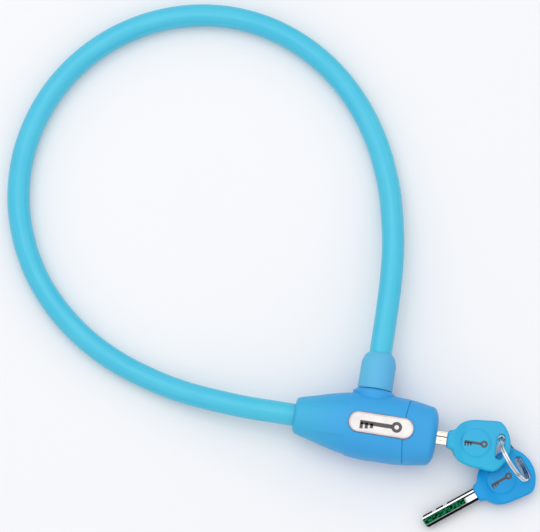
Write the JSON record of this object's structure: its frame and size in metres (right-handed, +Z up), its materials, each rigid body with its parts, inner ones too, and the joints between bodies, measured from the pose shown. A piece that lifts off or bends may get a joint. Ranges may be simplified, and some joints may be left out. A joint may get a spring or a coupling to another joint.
{
  "type": "cable lock",
  "caption": "Round bicycle cable lock: blue coated steel cable looped from a barrel head into its plug, opened by a round flat-sided key, with a second key on a split ring.",
  "frame": {"origin": "On the flat underside of the head, straight below the crossing of the head's axis and the plug's axis", "axes": "+X along the head towards the keys, +Y along the plug towards the cable loop, +Z up from the surface that the lock lies on"},
  "size_m": [0.2872, 0.2477, 0.0287],
  "materials": {
    "cover_blue": "metallic blue gloss",
    "cable_blue": "smooth gloss vinyl",
    "sleeve_blue": "satin",
    "bow_blue": "semi-gloss moulded",
    "badge_silver": "satin silver",
    "steel": "bright nickel-plated",
    "ring_steel": "bright plated",
    "rope": "stranded wire",
    "zinc": "as die-cast",
    "brass": "stamped",
    "rubber": "matt black"
  },
  "bodies": {
    "head": {"cover_main": "cover_blue", "cover_cap": "cover_blue", "badge_plate": "badge_silver", "inner_body": "zinc", "core_retainer": "steel", "socket_bush": "rubber", "fixed_ferrule": "zinc", "cross_pin": "steel", "rope_end_head": "rope", "cable": "cable_blue"},
    "core": {"core_barrel": "zinc", "core_face": "steel", "sidebar": "steel", "disc_1": "brass", "disc_2": "brass", "disc_3": "brass", "disc_4": "brass", "disc_5": "brass", "disc_6": "brass", "spacer_1": "steel", "spacer_2": "steel", "spacer_3": "steel", "spacer_4": "steel", "spacer_5": "steel"},
    "latch": {"latch_plate": "steel"},
    "plug": {"plug_pin": "steel", "plug_seal": "rubber", "plug_crimp": "zinc", "rope_end_plug": "rope", "plug_sleeve": "sleeve_blue"},
    "key_1": {"key_1_bow": "bow_blue", "key_1_blade": "steel"},
    "ring": {"key_ring": "ring_steel"},
    "key_2": {"key_2_bow": "bow_blue", "key_2_blade": "steel"}
  },
  "joints": [
    {"name": "key_turn", "type": "hinge", "parent": "head", "child": "core", "pos_m": [0.02, 0, 0.014], "axis": [-1, 0, 0], "range_deg": [0, 90]},
    {"name": "latch_slide", "type": "slide", "parent": "head", "child": "latch", "axis": [0, 0, -1], "range_m": [0, 0.0021]},
    {"name": "plug_pull", "type": "slide", "parent": "head", "child": "plug", "axis": [0, 1, 0], "range_m": [0, 0.032], "deforming": ["cable"]},
    {"name": "key_pull", "type": "slide", "parent": "core", "child": "key_1", "axis": [1, 0, 0], "range_m": [0, 0.036]},
    {"name": "ring_turn", "type": "hinge", "parent": "key_1", "child": "ring", "pos_m": [0.0737, -0.0048, 0.014], "axis": [-0.7366, -0.6007, -0.3107], "continuous": true},
    {"name": "key_2_swing", "type": "hinge", "parent": "key_1", "child": "key_2", "pos_m": [0.0737, -0.0048, 0.014], "axis": [-0.7366, -0.6007, -0.3107], "range_deg": [0, 108]}
  ],
  "couplings": [
    {"joint": "latch_slide", "follows": "key_turn", "m_per_rad": 0.001336}
  ]
}
